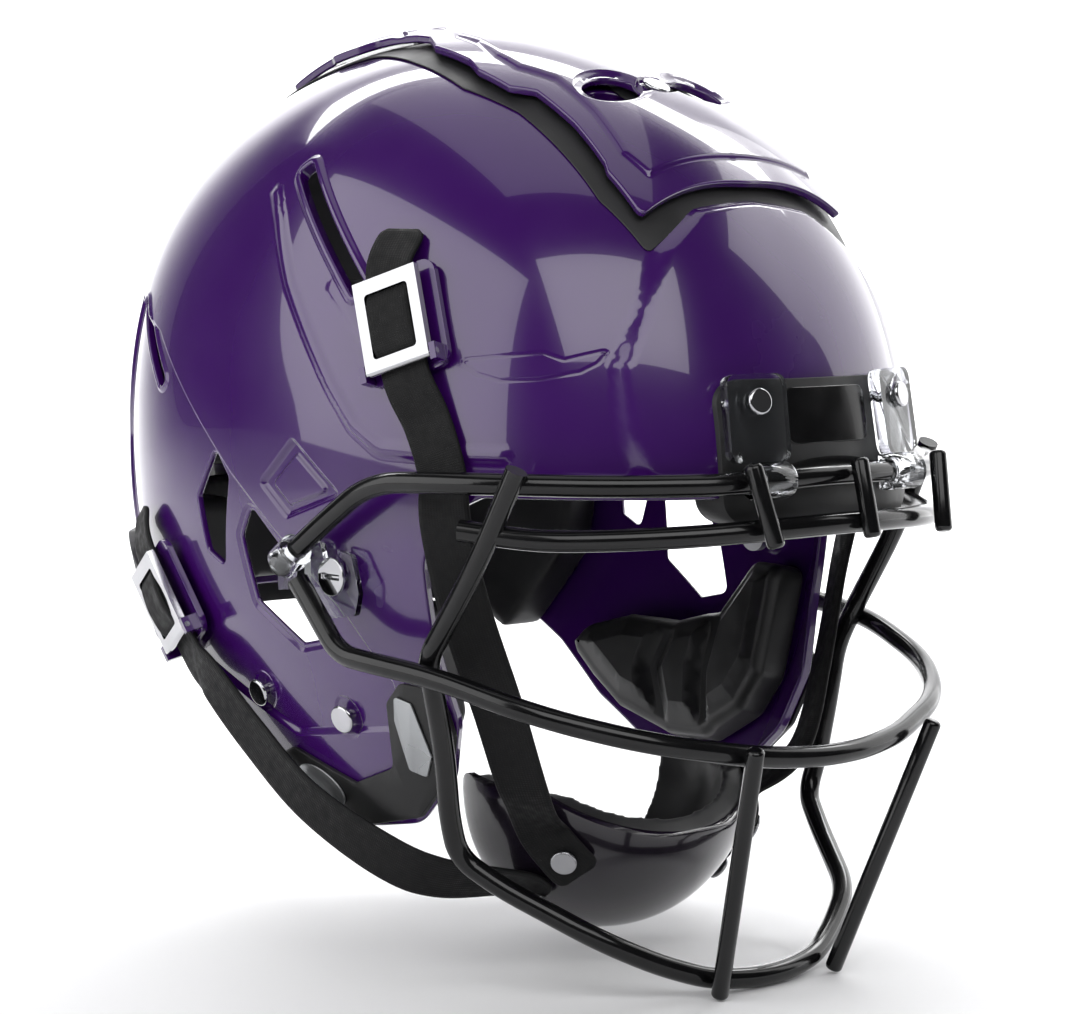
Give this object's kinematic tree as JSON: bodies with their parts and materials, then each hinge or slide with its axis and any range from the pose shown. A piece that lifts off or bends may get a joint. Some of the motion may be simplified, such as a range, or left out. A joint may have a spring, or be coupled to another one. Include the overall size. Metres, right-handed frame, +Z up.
{
  "type": "american football helmet",
  "caption": "Hard-shell football helmet with a floating crown plate, padded liner, wire face mask on clips, and a hard chin cup on buckled straps.",
  "frame": {"origin": "middle of the bounding box in plan, on the surface that the lowest point of the mask touches", "axes": "+X to the wearer's left, -Y forward through the mask, +Z up through the crown"},
  "size_m": [0.2586, 0.3422, 0.3433],
  "materials": {
    "shell_gloss": "deep purple, polished",
    "black_rubber": "black, satin moulded",
    "coated_wire": "black, glossy dipped coating",
    "clear_plastic": "clear moulded polycarbonate",
    "chrome": "polished",
    "steel": "plain",
    "cup_gloss": "black, polished",
    "pad_skin": "black, soft satin skin",
    "webbing": "black coated webbing",
    "guard_plastic": "charcoal, satin",
    "badge": "plain silver, blank"
  },
  "bodies": {
    "shell": {"back_pad": "pad_skin", "brow_clip_left": "clear_plastic", "brow_clip_right": "clear_plastic", "brow_clip_screws": "chrome", "buckle_pins": "chrome", "crown_gasket": "black_rubber", "crown_pad": "pad_skin", "crown_screws": "chrome", "front_bumper": "black_rubber", "front_pad": "pad_skin", "inflation_valve": "black_rubber", "jaw_badges": "badge", "jaw_guard_left": "guard_plastic", "jaw_guard_right": "guard_plastic", "jaw_pad_left": "pad_skin", "jaw_pad_right": "pad_skin", "lower_buckle_base_left": "shell_gloss", "lower_buckle_base_right": "shell_gloss", "lower_strap_left": "webbing", "lower_strap_right": "webbing", "nape_pad": "pad_skin", "rear_bumper": "black_rubber", "shell": "shell_gloss", "shell_screws": "chrome", "side_pad_left": "pad_skin", "side_pad_right": "pad_skin", "stud_nuts": "steel", "upper_buckle_base_left": "shell_gloss", "upper_buckle_base_right": "shell_gloss", "upper_strap_left": "webbing", "upper_strap_right": "webbing"},
    "facemask": {"mask_brow_uprights": "coated_wire", "mask_chin_uprights": "coated_wire", "mask_lower_loop": "coated_wire", "mask_middle_bar": "coated_wire", "mask_second_bar": "coated_wire", "mask_top_bar": "coated_wire", "side_clip_left": "clear_plastic", "side_clip_right": "clear_plastic"},
    "crown_plate": {"crown_plate": "shell_gloss"},
    "side_stud_left": {"side_stud_left": "chrome"},
    "side_stud_right": {"side_stud_right": "chrome"},
    "upper_buckle_left": {"upper_buckle_left": "chrome", "upper_strap_wrap_left": "webbing"},
    "upper_buckle_right": {"upper_buckle_right": "chrome", "upper_strap_wrap_right": "webbing"},
    "lower_buckle_left": {"lower_buckle_left": "chrome", "lower_strap_wrap_left": "webbing"},
    "lower_buckle_right": {"lower_buckle_right": "chrome", "lower_strap_wrap_right": "webbing"},
    "chin_cup": {"chin_cup": "cup_gloss", "chin_pad": "pad_skin", "strap_snaps": "steel"}
  },
  "joints": [
    {"name": "facemask_flip", "type": "hinge", "parent": "shell", "child": "facemask", "pos_m": [0, -0.15097, 0.18333], "axis": [-1, 0, 0], "range_deg": [0, 60]},
    {"name": "crown_plate_press", "type": "slide", "parent": "shell", "child": "crown_plate", "axis": [0, 0, -1], "range_m": [0, 0.0015], "stiffness_N_per_m": 20000, "deforming": ["crown_gasket"]},
    {"name": "chin_cup_slack", "type": "slide", "parent": "shell", "child": "chin_cup", "axis": [0, 0, -1], "range_m": [0, 0.008], "deforming": ["upper_strap_left", "upper_strap_right", "lower_strap_left", "lower_strap_right"]},
    {"name": "side_stud_turn_left", "type": "hinge", "parent": "shell", "child": "side_stud_left", "pos_m": [0.113, -0.02157, 0.14713], "axis": [1, 0, 0], "range_deg": [0, 90]},
    {"name": "upper_buckle_lift_left", "type": "hinge", "parent": "shell", "child": "upper_buckle_left", "pos_m": [0.1145, -0.05399, 0.22245], "axis": [0.2881, 0.9036, -0.3172], "range_deg": [0, 35]},
    {"name": "lower_buckle_lift_left", "type": "hinge", "parent": "shell", "child": "lower_buckle_left", "pos_m": [0.10894, 0.07911, 0.11506], "axis": [-0.3226, 0.8207, -0.4716], "range_deg": [0, 35]},
    {"name": "side_stud_turn_right", "type": "hinge", "parent": "shell", "child": "side_stud_right", "pos_m": [-0.113, -0.02157, 0.14713], "axis": [1, 0, 0], "range_deg": [0, 90]},
    {"name": "upper_buckle_lift_right", "type": "hinge", "parent": "shell", "child": "upper_buckle_right", "pos_m": [-0.1145, -0.05399, 0.22245], "axis": [0.2881, -0.9036, 0.3172], "range_deg": [0, 35]},
    {"name": "lower_buckle_lift_right", "type": "hinge", "parent": "shell", "child": "lower_buckle_right", "pos_m": [-0.10894, 0.07911, 0.11506], "axis": [-0.3226, -0.8207, 0.4716], "range_deg": [0, 35]}
  ]
}
